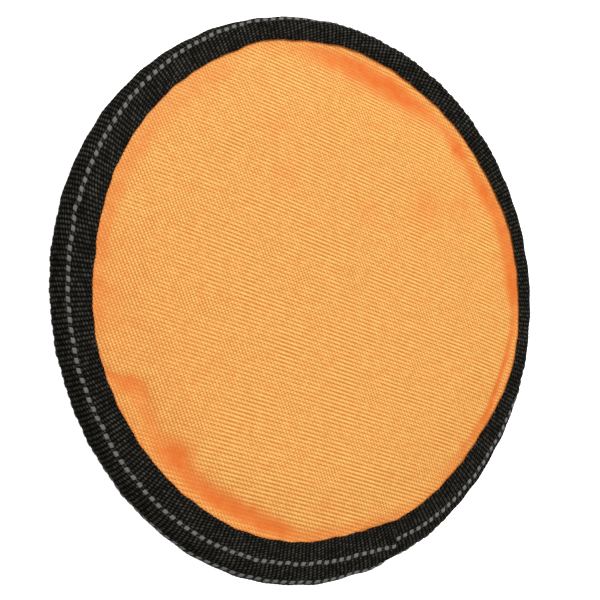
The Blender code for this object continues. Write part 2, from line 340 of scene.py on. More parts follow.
class Nodes:
    """Short calls that add nodes to one material."""

    def __init__(self, name):
        self.material = bpy.data.materials.new(name)
        self.material.use_nodes = True
        self.tree = self.material.node_tree
        self.shader = self.tree.nodes["Principled BSDF"]

    def link(self, value, socket):
        """Feeds a socket from another one or from a plain value."""
        if isinstance(value, bpy.types.NodeSocket):
            self.tree.links.new(value, socket)
        elif value is not None:
            socket.default_value = value

    def math(self, operation, first, second=None, third=None):
        node = self.tree.nodes.new("ShaderNodeMath")
        node.operation = operation
        for value, socket in zip((first, second, third), node.inputs):
            self.link(value, socket)
        return node.outputs[0]

    def scaled(self, value, factor, offset):
        """value x factor + offset"""
        return self.math("MULTIPLY_ADD", value, factor, offset)

    def dot(self, vector, direction):
        node = self.tree.nodes.new("ShaderNodeVectorMath")
        node.operation = "DOT_PRODUCT"
        self.link(vector, node.inputs[0])
        node.inputs[1].default_value = direction
        return node.outputs["Value"]

    def mix(self, share, first, second):
        node = self.tree.nodes.new("ShaderNodeMix")
        node.data_type = "RGBA"
        self.link(share, node.inputs["Factor"])
        colours = [s for s in node.inputs if s.type == "RGBA"]
        self.link(first, colours[0])
        self.link(second, colours[1])
        return [s for s in node.outputs if s.type == "RGBA"][0]

    def noise(self, vector, scale, detail=2.0):
        node = self.tree.nodes.new("ShaderNodeTexNoise")
        self.link(vector, node.inputs["Vector"])
        node.inputs["Scale"].default_value = scale
        node.inputs["Detail"].default_value = detail
        return node.outputs["Fac"]

    def own_noise(self, value):
        """A fixed random number for each whole value, such as one per yarn."""
        node = self.tree.nodes.new("ShaderNodeTexWhiteNoise")
        node.noise_dimensions = "1D"
        self.link(value, node.inputs["W"])
        return node.outputs["Value"]

    def seen_directly(self):
        """1 for what the camera sees itself, 0 for light that bounces."""
        return self.tree.nodes.new("ShaderNodeLightPath").outputs["Is Camera Ray"]

    def position(self):
        """Place on the disc, in metres."""
        return self.tree.nodes.new("ShaderNodeTexCoord").outputs["Object"]

    def attribute(self, name):
        node = self.tree.nodes.new("ShaderNodeAttribute")
        node.attribute_name = name
        return node.outputs["Vector"]

    def parts(self, vector):
        """The three numbers of a vector."""
        node = self.tree.nodes.new("ShaderNodeSeparateXYZ")
        self.link(vector, node.inputs[0])
        return node.outputs

    def bump(self, height, distance, strength):
        node = self.tree.nodes.new("ShaderNodeBump")
        node.inputs["Strength"].default_value = strength
        node.inputs["Distance"].default_value = distance
        self.link(height, node.inputs["Height"])
        self.link(node.outputs["Normal"], self.shader.inputs["Normal"])

    def finish(self, **values):
        """Sets the shader's inputs, named with _ for a space, and gives the material."""
        for name, value in values.items():
            self.link(value, self.shader.inputs[name.replace("_", " ")])
        return self.material


def shade(colour, factor=1.0):
    """Colour with its brightness scaled, and an alpha of 1."""
    return (colour[0] * factor, colour[1] * factor, colour[2] * factor, 1.0)


# The nylon's light and gap colours are its weave's painted highlight and shade, its fold colour the
# painted shade in a fold, and the webbing's lit colour a painted highlight.
NYLON_LIT_SHEEN = (0.84, 0.435, 0.124)
NYLON_SHADED_GAP = (0.42, 0.155, 0.021)
NYLON_FOLD_SHADE = (0.575, 0.121, 0.013)
WEBBING_DARK = (0.0022, 0.0018, 0.0011)
WEBBING_LIT = (0.031, 0.0285, 0.021)
YARN_GREY = (0.115, 0.115, 0.11)
THREAD_BLACK = (0.004, 0.004, 0.004)
FOAM_WHITE = (0.80, 0.80, 0.77)
CORD_GREY = (0.30, 0.30, 0.31)

# Nylon of the panels. Scales of noise are in bumps per metre, here and in the other materials.
FIRST_YARN_TURN = 20.0
FIRST_YARN_PITCH = 1.285 * MM
SECOND_YARN_TURN = -70.0
SECOND_YARN_PITCH = 0.985 * MM
SECOND_YARN_LAG = 0.2  # in half pitches
YARN_WANDER = 0.5  # in pitches
YARN_WANDER_SCALE = 45.0
YARNS_APART = 331.0  # keeps the numbers of the weave's crossings apart
FLOAT_TONE = 0.20
FLOAT_SCALE = 1600.0
# Share of painted light in each rhythm of the weave: the diagonal that faces the light is strongest.
DIAGONAL_TONE = 0.36
FIRST_YARN_TONE = 0.28
SECOND_YARN_TONE = 0.20
CROSS_DIAGONAL_TONE = 0.10
# Patches where the painted light of the diagonal shows, which thin out on the left
PATCH_SCALE = 75.0
PATCH_CONTRAST = 2.2
PATCH_LEVEL = -0.5
LEFT_SIDE = -40.0 * MM
LEFT_SIDE_FADE = 10.0  # per metre
# A fold calms the weave and warms its colour: painted shade of the light trapped in it. Specks are
# warmer too.
FOLD_CALM = 0.6
FOLD_WARMTH = 0.95
SPECK_SCALE = 260.0
SPECK_CONTRAST = 0.6
SPECK_LEVEL = -0.22
NYLON_BUMP = 0.25 * MM


def nylon_material():
    """Plain-weave nylon. Its floats line up in diagonals, painted lit on one side and shaded on the
    other.
    """
    n = Nodes("nylon_orange")
    where = n.position()
    bend = n.math("SUBTRACT", n.noise(where, YARN_WANDER_SCALE), 0.5)
    wander = n.math("MULTIPLY", bend, YARN_WANDER)

    def count_yarns(turn, pitch):
        """Yarns counted in this direction."""
        angle = math.radians(turn)
        direction = (math.cos(angle) / pitch, math.sin(angle) / pitch, 0.0)
        return n.math("ADD", n.dot(where, direction), wander)

    first = count_yarns(FIRST_YARN_TURN, FIRST_YARN_PITCH)
    second = count_yarns(SECOND_YARN_TURN, SECOND_YARN_PITCH)

    leftwards = n.math("MINIMUM", n.math("SUBTRACT", n.parts(where)[0], LEFT_SIDE), 0.0)
    patch = n.scaled(n.noise(where, PATCH_SCALE), PATCH_CONTRAST, PATCH_LEVEL)
    patch = n.scaled(leftwards, LEFT_SIDE_FADE, patch)
    patch = n.math("MINIMUM", n.math("MAXIMUM", patch, 0.0), 1.0)
    against = n.math("SUBTRACT", 1.0, patch)

    def rhythm(phase, strength, share):
        """One cosine of the weave, whose strength grows from half to one and a half with share."""
        wave = n.math("COSINE", n.math("MULTIPLY", phase, math.pi))
        return n.math("MULTIPLY", wave, n.scaled(share, strength, strength / 2))

    diagonal = rhythm(n.math("SUBTRACT", first, second), DIAGONAL_TONE, patch)
    cross_diagonal = rhythm(n.math("ADD", first, second), CROSS_DIAGONAL_TONE, against)
    first_yarns = rhythm(n.math("MULTIPLY", first, 2.0), FIRST_YARN_TONE, against)
    second_yarns = rhythm(n.scaled(second, 2.0, SECOND_YARN_LAG), SECOND_YARN_TONE, against)
    diagonals = n.math("ADD", diagonal, cross_diagonal)
    tone = n.math("ADD", diagonals, n.math("ADD", first_yarns, second_yarns))

    crossing = n.scaled(n.math("ROUND", first), YARNS_APART, n.math("ROUND", second))
    own = n.math("ADD", n.own_noise(crossing), n.noise(where, FLOAT_SCALE))
    tone = n.math("ADD", tone, n.scaled(own, FLOAT_TONE, -FLOAT_TONE))
    # painted shade of the folds, the webbing's edge and the left side
    fold = n.parts(n.attribute("fold"))[0]
    tone = n.math("MULTIPLY", tone, n.scaled(fold, -FOLD_CALM, 1.0))
    # painted light and shade of the weave, from the shaded gaps to the floats' lit sheen
    base = n.mix(n.math("ADD", tone, 0.5), shade(NYLON_SHADED_GAP), shade(NYLON_LIT_SHEEN))
    specks = n.scaled(n.noise(where, SPECK_SCALE), SPECK_CONTRAST, SPECK_LEVEL)
    # painted warm shade of the folds, together with the specks' own warmer colour
    warmth = n.scaled(fold, FOLD_WARMTH, n.math("MAXIMUM", specks, 0.0))
    base = n.mix(warmth, base, shade(NYLON_FOLD_SHADE))
    n.bump(tone, NYLON_BUMP, 0.6)
    return n.finish(
        Base_Color=base,
        Roughness=0.55,
        Specular_IOR_Level=0.15,
        Sheen_Weight=0.05,
        Sheen_Roughness=0.4,
    )


# Webbing: how far its ribs and warp yarns stray, in pitches, and how the painted highlight falls on
# each float
RIB_STRAY = 0.5
RIB_STRAY_SCALE = 700.0
WARP_STRAY = 0.9
WARP_STRAY_SCALE = 500.0
CROWN_POWER = 1.1
RIDGE_POWER = 2.6
ROWS_APART = 57.0  # keeps the numbers of the floats apart
FLOAT_DULLEST = 0.35
FLOAT_RANGE = 1.1
# patches where the painted highlight is stronger or weaker
HIGHLIGHT_PATCH_SCALE = 90.0
HIGHLIGHT_PATCH_CONTRAST = 1.2
HIGHLIGHT_PATCH_LEVEL = 0.4
FILAMENTS = 3.0  # ridges of filaments in each warp yarn
FUZZ_SCALE = 2500.0
FUZZ_CONTRAST = 0.8
FUZZ_LEVEL = 0.6
WEBBING_BUMP = 0.05 * MM


def webbing_material():
    """Black webbing: the crown of each warp float carries a painted highlight, the rest stays dark.
    """
    n = Nodes("webbing_black")
    rib, warp, _ = n.parts(n.attribute("strip"))
    where = n.position()

    def stray(count, scale, amount):
        """The count of a rib or warp yarn, shifted a little from place to place."""
        return n.math("ADD", count, n.scaled(n.noise(where, scale), amount, -amount / 2))

    rib = stray(rib, RIB_STRAY_SCALE, RIB_STRAY)
    warp = stray(warp, WARP_STRAY_SCALE, WARP_STRAY)
    row = n.math("ROUND", rib)
    shifted = n.math("ADD", warp, row)
    column = n.math("MULTIPLY", n.math("ROUND", n.math("MULTIPLY", shifted, 0.5)), 2.0)
    aside = n.math("SUBTRACT", shifted, column)
    ahead = n.scaled(aside, -FLOAT_SLANT, n.math("SUBTRACT", rib, row))
    crown = n.math("SUBTRACT", 1.0, n.math("POWER", n.math("ABSOLUTE", aside), CROWN_POWER))
    ridge = n.math("COSINE", n.math("MULTIPLY", ahead, math.pi))
    ridge = n.math("POWER", n.math("MAXIMUM", ridge, 0.0), RIDGE_POWER)
    own = n.scaled(n.own_noise(n.scaled(row, ROWS_APART, column)), FLOAT_RANGE, FLOAT_DULLEST)
    lit = n.math("MULTIPLY", n.math("MULTIPLY", n.math("MAXIMUM", crown, 0.0), ridge), own)
    # painted highlight, stronger in some patches than in others
    highlight_patches = n.scaled(n.noise(where, HIGHLIGHT_PATCH_SCALE), HIGHLIGHT_PATCH_CONTRAST, HIGHLIGHT_PATCH_LEVEL)
    fuzz = n.noise(where, FUZZ_SCALE, 3.0)
    lit = n.math("MULTIPLY", n.math("MULTIPLY", lit, highlight_patches), n.scaled(fuzz, FUZZ_CONTRAST, FUZZ_LEVEL))
    base = n.mix(lit, shade(WEBBING_DARK), shade(WEBBING_LIT))
    filaments = n.math("SINE", n.math("MULTIPLY", warp, 2.0 * math.pi * FILAMENTS))
    n.bump(n.scaled(filaments, 0.3, fuzz), WEBBING_BUMP, 0.6)
    return n.finish(
        Base_Color=base,
        Roughness=0.6,
        Specular_IOR_Level=n.scaled(lit, 0.2, 0.01),
    )


# Yarns, threads and foam
YARN_STRAND = 0.32 * MM
YARN_BUMP = 0.08 * MM
YARN_WEAR_SCALE = 700.0
THREAD_TWIST = 0.5 * MM
THREAD_BUMP = 0.05 * MM
THREAD_FUZZ_SCALE = 3000.0
FOAM_PORE_SCALE = 900.0
CORD_PORE_SCALE = 700.0
PORES_PER_MOTTLE = 12.0
FOAM_BUMP = 0.3 * MM


def yarn_material():
    """Grey reflective yarn: flat filaments side by side."""
    n = Nodes("reflective_yarn_grey")
    side = n.parts(n.attribute("strip"))[1]
    strands = n.math("SINE", n.math("MULTIPLY", side, 2.0 * math.pi / YARN_STRAND))
    wear = n.noise(n.position(), YARN_WEAR_SCALE, 3.0)
    base = n.mix(wear, shade(YARN_GREY, 0.75), shade(YARN_GREY, 1.3))
    n.bump(n.scaled(strands, 0.5, wear), YARN_BUMP, 0.8)
    return n.finish(Base_Color=base, Roughness=0.5, Metallic=0.15, Specular_IOR_Level=0.25)


def thread_material():
    """Black sewing thread, twisted."""
    n = Nodes("thread_black")
    along = n.parts(n.attribute("strip"))[0]
    twist = n.math("SINE", n.math("MULTIPLY", along, 2.0 * math.pi / THREAD_TWIST))
    fuzz = n.noise(n.position(), THREAD_FUZZ_SCALE)
    base = n.mix(fuzz, shade(THREAD_BLACK, 0.6), shade(THREAD_BLACK, 1.8))
    n.bump(twist, THREAD_BUMP, 0.8)
    return n.finish(Base_Color=base, Roughness=0.7, Specular_IOR_Level=0.1)


def foam_material(name, colour, scale):
    """Closed-cell foam: fine pores and slight mottling."""
    n = Nodes(name)
    where = n.position()
    pores = n.noise(where, scale, 4.0)
    mottle = n.noise(where, scale / PORES_PER_MOTTLE)
    base = n.mix(mottle, shade(colour, 0.85), shade(colour, 1.05))
    n.bump(pores, FOAM_BUMP, 0.6)
    return n.finish(Base_Color=base, Roughness=0.9, Specular_IOR_Level=0.2)


# ---------------------------------------------------------------- rim pieces


def make_webbing(material):
    """The strip of webbing, woven, folded round the rim, its end lapped over its start."""
    rib_turn = DASH_TURN / 2
    stations = int(round((LAP_END - LAP_START) / rib_turn * SAMPLES_PER_RIB)) + 1
    turns = np.linspace(LAP_START, LAP_END, stations)[:, None]
    outer_count = int(round((FACE_EDGE - BACK_EDGE) / WARP_PITCH * SAMPLES_PER_WARP)) + 1
    outer = np.linspace(FACE_EDGE, BACK_EDGE, outer_count)[None, :]
    inner = np.linspace(BACK_EDGE, FACE_EDGE, INNER_SAMPLES)[None, :]
    loops = []
    places = []
    for across, is_outer in ((outer, True), (inner, False)):
        turn = turns + cut_slant(across) * smoothstep(LAP_END - LAP_SLANT_REACH, LAP_END, turns)
        rib = rib_phase(turn)
        warp = across / WARP_PITCH + 0.0 * turn
        lift, thickness = strip_lift(turn, across)
        to_edge = np.minimum(FACE_EDGE - across, across - BACK_EDGE)
        rounding = 1.0 - np.clip(to_edge / SELVAGE, 0.0, 1.0)
        drop = (1.0 - np.sqrt(1.0 - rounding**2)) * thickness / 2
        if is_outer:
            lift = lift + weave_height(rib, warp) * thickness / WEBBING_THICKNESS - drop
        else:
            lift = lift - thickness + drop
        outwards = np.sign(across - REAR_LINE / 2)
        scallop = SCALLOP * np.cos(2.0 * math.pi * rib) * rounding * outwards
        loops.append(rim_place(turn, strip_along(turn, across + scallop), lift))
        places.append(np.stack((rib, warp, 0.0 * warp), axis=-1))
    piece = sweep("rim_webbing_woven", np.concatenate(loops, axis=1), material)
    keep_places(piece, "strip", np.concatenate(places, axis=1))
    return piece


DASH_LENGTH_SHARE = 0.60
DASH_END = 0.07  # half the length of a dash's sloping end, in dashes
DASH_WIDTH = 1.55 * MM
DASH_NARROWING = 0.15  # share of its width that the yarn loses between dashes
DASH_SLANT = 0.3  # how far a dash's ends run along for each step across
DASH_CORNERS = 7
DASH_SAMPLES = 12
YARN_THICKNESS = 0.3 * MM
YARN_DOME = 0.75
YARN_BED = 0.05 * MM
YARN_SINK = 0.8 * MM
DASH_SHIFT = 0.12 * MM
SHIFTED_DASH = 0.55 * MM  # a few dashes are shifted further, by this much
SHIFTED_SHARE = 0.06
YARN_START = 1.5  # from the strip's start to the first dash, in LAP_RAMPs
YARN_STOP = 0.35  # from the last dash's middle to the cut, in dashes
YARN_TAIL = 0.42  # how much of the yarn is left after that middle, in dashes


def make_yarn(name, line, stray, seed, material):
    """A flat reflective yarn, woven over one rib of the webbing and under the next."""
    first = math.ceil((LAP_START + LAP_RAMP * YARN_START - FIRST_DASH) / DASH_TURN)
    last = math.floor((LAP_END + cut_slant(line) - FIRST_DASH) / DASH_TURN - YARN_STOP)
    count = last - first + 1
    dash = np.linspace(first - 0.5, last + YARN_TAIL, count * DASH_SAMPLES)[:, None]
    rng = np.random.default_rng(seed)
    shifts = rng.normal(0.0, DASH_SHIFT, count + 2)
    strays = rng.random(count + 2) < SHIFTED_SHARE
    shifts = shifts + strays * SHIFTED_DASH * rng.choice((-1.0, 1.0), count + 2)
    shift = np.interp(dash, np.arange(first - 1, last + 2), shifts)
    slant = np.degrees(DASH_SLANT * DASH_WIDTH / 2 / RIM_RADIUS)
    turn = FIRST_DASH + DASH_TURN * dash
    to_gap = 0.5 - np.abs(dash - np.round(dash))
    dash_end = 0.5 - DASH_LENGTH_SHARE / 2
    up = smoothstep(dash_end - DASH_END, dash_end + DASH_END, to_gap)
    corners = np.linspace(-1.0, 1.0, DASH_CORNERS)
    top = np.sqrt(1.0 - YARN_DOME * corners**4)
    side = np.concatenate((corners, corners[::-1]))[None, :]
    rise = np.concatenate((top, 0.0 * top))[None, :]
    width = DASH_WIDTH / 2 * (1.0 - DASH_NARROWING * (1.0 - up))
    far_side = 1.0 - np.cos(np.radians(turn - REAR_LINE_DRIFT_FROM))
    across = line + shift - stray * far_side + side * width
    lift = rise * YARN_THICKNESS - YARN_BED - YARN_SINK * (1.0 - up)
    points = strip_place(turn + slant * side, across, lift)
    piece = sweep(name, points[:, ::-1], material)
    places = np.stack(np.broadcast_arrays(dash, side * width, 0.0 * lift), axis=-1)[:, ::-1]
    keep_places(piece, "strip", places)
    return piece


def make_stitches(name, across, depth, side, material):
    """One thread of a row of lock stitches: level along each stitch, dipping at each hole."""
    radius = RIM_RADIUS - FACE_SIDE_RADIUS
    count = int(round(2.0 * math.pi * radius / STITCH_LENGTH))
    stitch = np.arange(count * STITCH_SAMPLES)[:, None] / STITCH_SAMPLES
    turn = LAP_START + LAP_RAMP + 360.0 * stitch / count
    to_hole = np.abs(stitch - np.round(stitch))
    dip = 1.0 - smoothstep(0.0, STITCH_DIP_REACH, to_hole)
    ring = np.radians(np.arange(THREAD_SIDES) * 360.0 / THREAD_SIDES)[None, :]
    lift = depth - side * dip * STITCH_DIP + THREAD_RADIUS * np.sin(ring)
    sideways = THREAD_RADIUS * np.cos(ring) * (1.0 - STITCH_NARROWING * dip)
    points = strip_place(turn + 0.0 * lift, across + sideways, lift)
    piece = sweep(name, points, material, closed=True)
    length = stitch * STITCH_LENGTH
    keep_places(piece, "strip", np.stack(np.broadcast_arrays(length, ring, 0.0 * lift), axis=-1))
    return piece


CORD_GAP = 0.3  # degrees between the cord's ends
CORD_SIDES = 24
CORD_STATIONS = 360


def make_cord(material):
    """Foam cord inside the rim, in the CAD cord's place, with its ends butted opposite the lap."""
    low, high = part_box("rim_cord")
    half = (high.z - low.z) / 2
    centre_height = (high.z + low.z) / 2
    ring_radius = high.x - half
    start = LAP_START - 180.0 + CORD_GAP / 2
    turn = np.linspace(start, start + 360.0 - CORD_GAP, CORD_STATIONS)[:, None]
    ring = np.radians(np.arange(CORD_SIDES) * 360.0 / CORD_SIDES)[None, :]
    radius = ring_radius + half * np.cos(ring) + 0.0 * turn
    height = centre_height + half * np.sin(ring) + 0.0 * turn
    return sweep("rim_cord_foam", place(turn + 0.0 * radius, radius, height), material)


# ---------------------------------------------------------------- panels and pad

PLATEAU_OFFSET = 5.0 * MM  # towards +X, near the rim
PLATEAU_RADIUS = 86.0 * MM
PLATEAU_SLOPE = 11.0 * MM
PLATEAU_CROWN = 0.5 * MM

# Folds pressed into the face along the rim, as (degrees, distance in from the webbing, depth,
# reach inwards, reach outwards, warmth), the lengths in millimetres. The warmth is painted shade.
FACE_FOLDS = (
    (
        (104.0, 0.3, 0.0, 3.0, 1.5, 0.1),
        (93.0, 3.2, 0.8, 3.8, 1.8, 0.35),
        (85.0, 4.8, 1.4, 6.0, 3.2, 0.7),
        (77.0, 6.2, 1.8, 7.4, 3.8, 0.85),
        (70.0, 6.9, 2.1, 7.6, 4.0, 0.9),
        (64.0, 6.6, 2.2, 7.0, 4.0, 0.95),
        (57.0, 6.0, 2.0, 5.8, 3.4, 0.8),
        (50.0, 4.9, 1.9, 4.0, 2.6, 0.45),
        (45.0, 4.9, 2.1, 4.0, 2.6, 0.5),
        (41.0, 5.4, 2.4, 5.4, 3.4, 0.95),
        (36.0, 5.2, 2.0, 4.0, 2.6, 0.5),
        (28.0, 4.8, 2.2, 5.4, 3.8, 0.9),
        (19.0, 2.8, 1.6, 6.0, 3.4, 0.7),
        (10.0, 2.4, 1.4, 6.0, 3.0, 0.75),
        (2.0, 2.2, 1.5, 5.4, 3.0, 0.9),
        (-4.0, 2.2, 1.2, 2.8, 1.8, 0.6),
        (-8.0, 2.8, 1.1, 2.0, 1.6, 0.6),
        (-12.0, 3.7, 1.0, 1.8, 1.5, 0.7),
        (-19.0, 4.8, 0.9, 1.9, 1.6, 0.8),
        (-24.0, 4.4, 0.85, 1.9, 1.8, 0.85),
        (-28.0, 3.3, 0.8, 1.9, 1.9, 0.85),
        (-32.0, 2.1, 0.7, 2.1, 2.0, 0.8),
        (-37.0, 2.6, 0.6, 2.4, 2.4, 0.6),
        (-42.0, 2.7, 0.5, 2.8, 2.4, 0.5),
        (-48.0, 2.0, 0.3, 3.0, 2.2, 0.4),
        (-58.0, 1.5, 0.0, 3.0, 2.0, 0.2),
    ),
    (
        (194.0, 0.3, 0.0, 2.0, 1.5, 0.2),
        (197.0, 0.8, 0.6, 2.5, 2.5, 0.6),
        (199.5, 6.0, 1.0, 4.5, 5.0, 0.7),
        (201.5, 9.0, 1.2, 4.5, 7.0, 0.7),
        (204.0, 10.6, 1.4, 3.6, 5.0, 0.55),
        (207.0, 9.4, 1.5, 3.6, 4.0, 0.42),
        (211.0, 7.8, 1.5, 4.0, 4.0, 0.42),
        (215.5, 7.0, 1.6, 4.6, 4.6, 0.45),
        (219.0, 6.8, 2.0, 6.6, 5.6, 0.75),
        (223.0, 8.2, 1.9, 7.0, 5.8, 0.88),
        (227.5, 6.4, 1.5, 4.8, 3.8, 0.7),
        (232.0, 5.9, 1.7, 4.6, 3.6, 0.8),
        (240.0, 6.2, 2.1, 4.6, 3.8, 0.92),
        (248.0, 5.6, 1.8, 4.4, 3.6, 0.88),
        (256.0, 3.8, 1.5, 4.2, 3.0, 0.9),
        (262.0, 1.8, 0.8, 3.0, 1.8, 0.55),
        (272.0, 1.6, 0.4, 3.0, 1.6, 0.4),
        (282.0, 1.3, 0.3, 3.0, 1.5, 0.35),
        (294.0, 1.0, 0.2, 2.5, 1.5, 0.3),
        (306.0, 1.0, 0.0, 2.0, 1.5, 0.15),
    ),
    (
        (110.0, 1.5, 0.0, 4.0, 3.0, 0.0),
        (116.0, 4.5, 0.4, 5.0, 5.0, 0.28),
        (130.0, 4.5, 0.5, 5.0, 5.0, 0.26),
        (143.0, 3.2, 0.5, 4.5, 4.0, 0.34),
        (152.0, 3.2, 0.6, 4.0, 3.0, 0.36),
        (160.0, 2.0, 0.6, 4.0, 2.0, 0.40),
        (168.0, 1.5, 0.5, 3.5, 2.0, 0.50),
        (175.0, 1.5, 0.4, 3.0, 2.0, 0.30),
        (184.0, 1.5, 0.4, 3.0, 2.0, 0.40),
        (192.0, 1.5, 0.0, 3.0, 2.0, 0.10),
    ),
)
# Shallow dents and the painted soft shade of the left side, as (degrees, radius, reach, depth,
# warmth), the lengths in millimetres. The warmth is painted shade.
FACE_DENTS = (
    (35.0, 66.0, 8.0, 0.22, 0.34),
    (57.0, 42.0, 5.5, 0.12, 0.14),
    (109.0, 51.0, 5.0, 0.12, 0.16),
    (107.0, 70.0, 6.0, 0.10, 0.12),
    (27.0, 84.0, 7.0, 0.20, 0.20),
    (179.0, 96.0, 6.0, 0.30, 0.30),
    (186.0, 91.0, 7.0, 0.30, 0.16),
    (170.0, 92.0, 9.0, 0.20, 0.12),
    (210.0, 76.0, 18.0, 0.0, 0.08),
    (183.0, 95.0, 45.0, 0.0, 0.08),
    (269.0, 84.0, 2.5, 0.12, 0.20),
    (271.0, 99.0, 2.5, 0.25, 0.35),
)
# painted warm shade right beside the webbing
FOLD_AT_WEBBING = 0.6 * MM  # reach of the warm shade right beside the webbing
WARMTH_AT_WEBBING = 0.8
FOLD_DEPTH = 0.4  # share of the depths above that is pressed into the face
FOLD_WARMTH_SHAPE = 3.0


def webbing_edge_radius(turn):
    """Radius at which the webbing's edge lies on the face."""
    outline = RIM_RADIUS - FACE_SIDE_RADIUS + FACE_SIDE_RADIUS * math.pi / 2
    return outline - LINE_ALONG - lobes(turn, LINE_DRIFT) + edge_wander(turn) - FACE_EDGE


def face_fold(turn, radius):
    """(drop, warmth) of the face at these places. Light is trapped and warmed in a fold, and that
    shade is painted as warmth.
    """
    edge = webbing_edge_radius(turn)
    drop = np.zeros(radius.shape)
    warmth = WARMTH_AT_WEBBING * bell(edge - radius, FOLD_AT_WEBBING)
    for fold in FACE_FOLDS:
        angles, *columns = np.array(sorted(fold)).T
        middle = (angles[0] + angles[-1]) / 2
        angle = middle + turn_from(turn, middle)
        here = [np.interp(angle, angles, column) for column in columns]
        inset, depth, inward, outward, warm = here
        off = (radius - edge) / MM + inset
        off = np.abs(off) / np.where(off < 0.0, inward, outward)
        drop = drop + FOLD_DEPTH * depth * MM * np.exp(-(off**2))
        warmth = np.maximum(warmth, warm * np.exp(-(off**FOLD_WARMTH_SHAPE)))
    for angle, distance, reach, depth, warm in FACE_DENTS:
        across = distance * MM * np.radians(turn_from(turn, angle))
        shape = bell(np.hypot(across, radius - distance * MM), reach * MM)
        drop = drop + depth * MM * shape
        warmth = warmth + warm * shape * (1.0 - warmth)
    return drop, warmth


def face_height(x, y):
    """Face without folds: a level plateau over the pad that falls away towards the webbing."""
    radius = np.hypot(x, y)
    from_middle = np.hypot(x - PLATEAU_OFFSET * (radius / FACE_PANEL_RADIUS) ** 2, y)
    fall = smoothstep(PLATEAU_RADIUS - PLATEAU_SLOPE, PLATEAU_RADIUS + PLATEAU_SLOPE, from_middle)
    crown = PLATEAU_CROWN * (1.0 - (radius / PLATEAU_RADIUS) ** 2)
    return FACE_HEIGHT + crown * (1.0 - fall) - fall * (FACE_HEIGHT - UNDER_WEBBING)


def back_height(x, y):
    """Back panel: level where the disc rests, then up to the inside of the webbing."""
    radius = np.hypot(x, y)
    rise = smoothstep(BACK_RISE_START, BACK_RISE_END, radius)
    return rise * (RIM_BASE + WEBBING_THICKNESS + BACK_INSIDE_WEBBING)


def disc_grid(radius):
    """Even grid of places over a disc."""
    steps = np.linspace(-1.0, 1.0, SHEET_CELLS + 1)
    a, b = np.meshgrid(steps, steps, indexing="ij")
    return radius * a * np.sqrt(1.0 - b**2 / 2), radius * b * np.sqrt(1.0 - a**2 / 2)


def sheet(name, radius, height_at, upwards, material):
    """Sheet of quads over a disc, at the heights that height_at gives, facing up or down."""
    x, y = disc_grid(radius)
    size = SHEET_CELLS + 1
    points = np.stack((x, y, height_at(x, y)), axis=-1)
    index = np.arange(size * size).reshape(size, size)
    quads = np.stack((index[:-1, :-1], index[1:, :-1], index[1:, 1:], index[:-1, 1:]), axis=-1)
    quads = quads.reshape(-1, 4)
    if not upwards:
        quads = quads[:, ::-1]
    return new_object(name, fill_mesh(name, points, quads), material)


def read_points(mesh):
    """A mesh's vertices as an array."""
    points = np.zeros(len(mesh.vertices) * 3, np.float32)
    mesh.vertices.foreach_get("co", points)
    return points.reshape(-1, 3).astype(float)


def write_points(mesh, points):
    """Moves a mesh's vertices to these places."""
    mesh.vertices.foreach_set("co", points.astype(np.float32).ravel())
    mesh.update()


CLOTH_FRAMES = 20
CLOTH_QUALITY = 6
CLOTH_MASS = 0.2
CLOTH_STRETCH = 20.0
CLOTH_SHEAR = 8.0
CLOTH_BENDING = 0.8
CLOTH_PRESSURE = 4.0
CLOTH_SHRINK = -0.006  # negative, so the cloth is cut slightly large
FACE_CLOTH_CAP = 1.2 * MM
BACK_CLOTH_CAP = 0.5 * MM  # the disc rests on its back, so that side swells less
CLOTH_PINNED_FROM = 101.0 * MM


def inflate(piece, cap):
    """Cloth simulation of a panel held by the webbing. It swells by no more than the cap."""
    rest = read_points(piece.data)
    held = np.flatnonzero(np.hypot(rest[:, 0], rest[:, 1]) > CLOTH_PINNED_FROM)
    group = piece.vertex_groups.new(name="held")
    group.add(held.tolist(), 1.0, "REPLACE")
    cloth = piece.modifiers.new("cloth", "CLOTH")
    settings = cloth.settings
    settings.quality = CLOTH_QUALITY
    settings.mass = CLOTH_MASS
    settings.tension_stiffness = CLOTH_STRETCH
    settings.compression_stiffness = CLOTH_STRETCH
    settings.shear_stiffness = CLOTH_SHEAR
    settings.bending_stiffness = CLOTH_BENDING
    settings.use_pressure = True
    settings.uniform_pressure_force = CLOTH_PRESSURE
    settings.shrink_min = CLOTH_SHRINK
    settings.vertex_group_mass = "held"
    settings.effector_weights.gravity = 0.0
    cloth.point_cache.frame_start = 1
    cloth.point_cache.frame_end = CLOTH_FRAMES
    scene = bpy.context.scene
    for step in range(1, CLOTH_FRAMES + 1):
        scene.frame_set(step)
    evaluated = piece.evaluated_get(bpy.context.evaluated_depsgraph_get())
    moved = read_points(evaluated.to_mesh())
    evaluated.to_mesh_clear()
    piece.modifiers.remove(cloth)
    scene.frame_set(1)
    shift = moved - rest
    length = np.linalg.norm(shift, axis=1, keepdims=True)
    capped = shift * cap * np.tanh(length / cap) / np.maximum(length, 1e-9)
    write_points(piece.data, rest + capped)


def refine(piece):
    """Applies the subdivision that turns the simulated sheet into a fine one."""
    subdivision = piece.modifiers.new("fine", "SUBSURF")
    subdivision.levels = SHEET_SUBDIVISIONS
    subdivision.render_levels = SHEET_SUBDIVISIONS
    graph = bpy.context.evaluated_depsgraph_get()
    fine = bpy.data.meshes.new_from_object(piece.evaluated_get(graph))
    piece.modifiers.remove(subdivision)
    piece.data = fine


def thicken(piece):
    """Gives a sheet the fabric's thickness, on its inner side."""
    solid = piece.modifiers.new("thickness", "SOLIDIFY")
    solid.thickness = FABRIC_THICKNESS
    solid.offset = -1.0


